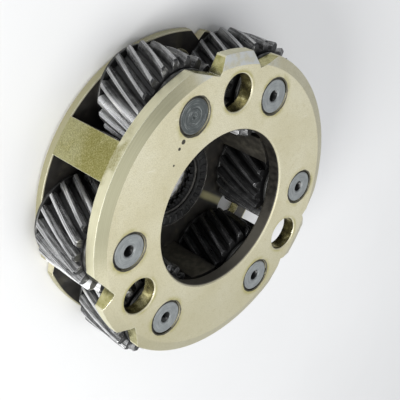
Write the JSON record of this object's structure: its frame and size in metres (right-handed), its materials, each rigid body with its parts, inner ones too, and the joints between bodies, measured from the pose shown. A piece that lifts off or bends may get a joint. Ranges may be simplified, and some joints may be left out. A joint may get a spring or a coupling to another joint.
{
  "type": "planetary gear carrier",
  "caption": "Planetary carrier with helical planet gears on needle rollers and pins, an open front bore and a splined rear hub.",
  "frame": {"origin": "on the carrier axis at the rear face, the lowest point", "axes": "+Z along the carrier axis from the splined rear hub to the open front bore; -Y through one of the three plain holes"},
  "size_m": [0.1304, 0.1216, 0.0362],
  "materials": {
    "carrier_steel": "machined steel with a thin pale gold conversion coating",
    "gear_steel": "case-hardened gear steel, dark, ground on the flanks",
    "pin_steel": "hardened steel with a satin grey end face",
    "roller_steel": "polished bearing steel",
    "washer_steel": "ground steel",
    "bearing_steel": "pressed and hardened steel"
  },
  "bodies": {
    "carrier": {"carrier_body": "carrier_steel", "planet_pin_1": "pin_steel", "front_thrust_washer_1": "washer_steel", "rear_thrust_washer_1": "washer_steel", "planet_pin_2": "pin_steel", "front_thrust_washer_2": "washer_steel", "rear_thrust_washer_2": "washer_steel", "planet_pin_3": "pin_steel", "front_thrust_washer_3": "washer_steel", "rear_thrust_washer_3": "washer_steel", "planet_pin_4": "pin_steel", "front_thrust_washer_4": "washer_steel", "rear_thrust_washer_4": "washer_steel", "planet_pin_5": "pin_steel", "front_thrust_washer_5": "washer_steel", "rear_thrust_washer_5": "washer_steel", "planet_pin_6": "pin_steel", "front_thrust_washer_6": "washer_steel", "rear_thrust_washer_6": "washer_steel", "hub_bearing_race": "bearing_steel"},
    "planet_1": {"planet_gear_1": "gear_steel"},
    "needles_1": {"needle_rollers_1": "roller_steel"},
    "planet_2": {"planet_gear_2": "gear_steel"},
    "needles_2": {"needle_rollers_2": "roller_steel"},
    "planet_3": {"planet_gear_3": "gear_steel"},
    "needles_3": {"needle_rollers_3": "roller_steel"},
    "planet_4": {"planet_gear_4": "gear_steel"},
    "needles_4": {"needle_rollers_4": "roller_steel"},
    "planet_5": {"planet_gear_5": "gear_steel"},
    "needles_5": {"needle_rollers_5": "roller_steel"},
    "planet_6": {"planet_gear_6": "gear_steel"},
    "needles_6": {"needle_rollers_6": "roller_steel"},
    "hub_bearing": {"hub_bearing_cage": "bearing_steel", "hub_bearing_rollers": "roller_steel"}
  },
  "joints": [
    {"name": "planet_1_spin", "type": "hinge", "parent": "carrier", "child": "planet_1", "pos_m": [-0.02082, -0.04146, 0.0173], "axis": [0, 0, 1], "continuous": true},
    {"name": "needles_1_orbit", "type": "hinge", "parent": "carrier", "child": "needles_1", "pos_m": [-0.02082, -0.04146, 0.0173], "axis": [0, 0, 1], "continuous": true},
    {"name": "planet_2_spin", "type": "hinge", "parent": "carrier", "child": "planet_2", "pos_m": [0.02082, -0.04146, 0.0173], "axis": [0, 0, 1], "continuous": true},
    {"name": "needles_2_orbit", "type": "hinge", "parent": "carrier", "child": "needles_2", "pos_m": [0.02082, -0.04146, 0.0173], "axis": [0, 0, 1], "continuous": true},
    {"name": "planet_3_spin", "type": "hinge", "parent": "carrier", "child": "planet_3", "pos_m": [0.04632, 0.0027, 0.0173], "axis": [0, 0, 1], "continuous": true},
    {"name": "needles_3_orbit", "type": "hinge", "parent": "carrier", "child": "needles_3", "pos_m": [0.04632, 0.0027, 0.0173], "axis": [0, 0, 1], "continuous": true},
    {"name": "planet_4_spin", "type": "hinge", "parent": "carrier", "child": "planet_4", "pos_m": [0.02549, 0.03876, 0.0173], "axis": [0, 0, 1], "continuous": true},
    {"name": "needles_4_orbit", "type": "hinge", "parent": "carrier", "child": "needles_4", "pos_m": [0.02549, 0.03876, 0.0173], "axis": [0, 0, 1], "continuous": true},
    {"name": "planet_5_spin", "type": "hinge", "parent": "carrier", "child": "planet_5", "pos_m": [-0.02549, 0.03876, 0.0173], "axis": [0, 0, 1], "continuous": true},
    {"name": "needles_5_orbit", "type": "hinge", "parent": "carrier", "child": "needles_5", "pos_m": [-0.02549, 0.03876, 0.0173], "axis": [0, 0, 1], "continuous": true},
    {"name": "planet_6_spin", "type": "hinge", "parent": "carrier", "child": "planet_6", "pos_m": [-0.04632, 0.0027, 0.0173], "axis": [0, 0, 1], "continuous": true},
    {"name": "needles_6_orbit", "type": "hinge", "parent": "carrier", "child": "needles_6", "pos_m": [-0.04632, 0.0027, 0.0173], "axis": [0, 0, 1], "continuous": true},
    {"name": "hub_bearing_spin", "type": "hinge", "parent": "carrier", "child": "hub_bearing", "pos_m": [0, 0, 0.0076], "axis": [0, 0, 1], "continuous": true}
  ],
  "couplings": [
    {"joint": "needles_1_orbit", "follows": "planet_1_spin", "ratio": 0.56304},
    {"joint": "needles_2_orbit", "follows": "planet_2_spin", "ratio": 0.56304},
    {"joint": "needles_3_orbit", "follows": "planet_3_spin", "ratio": 0.56304},
    {"joint": "needles_4_orbit", "follows": "planet_4_spin", "ratio": 0.56304},
    {"joint": "needles_5_orbit", "follows": "planet_5_spin", "ratio": 0.56304},
    {"joint": "needles_6_orbit", "follows": "planet_6_spin", "ratio": 0.56304}
  ]
}
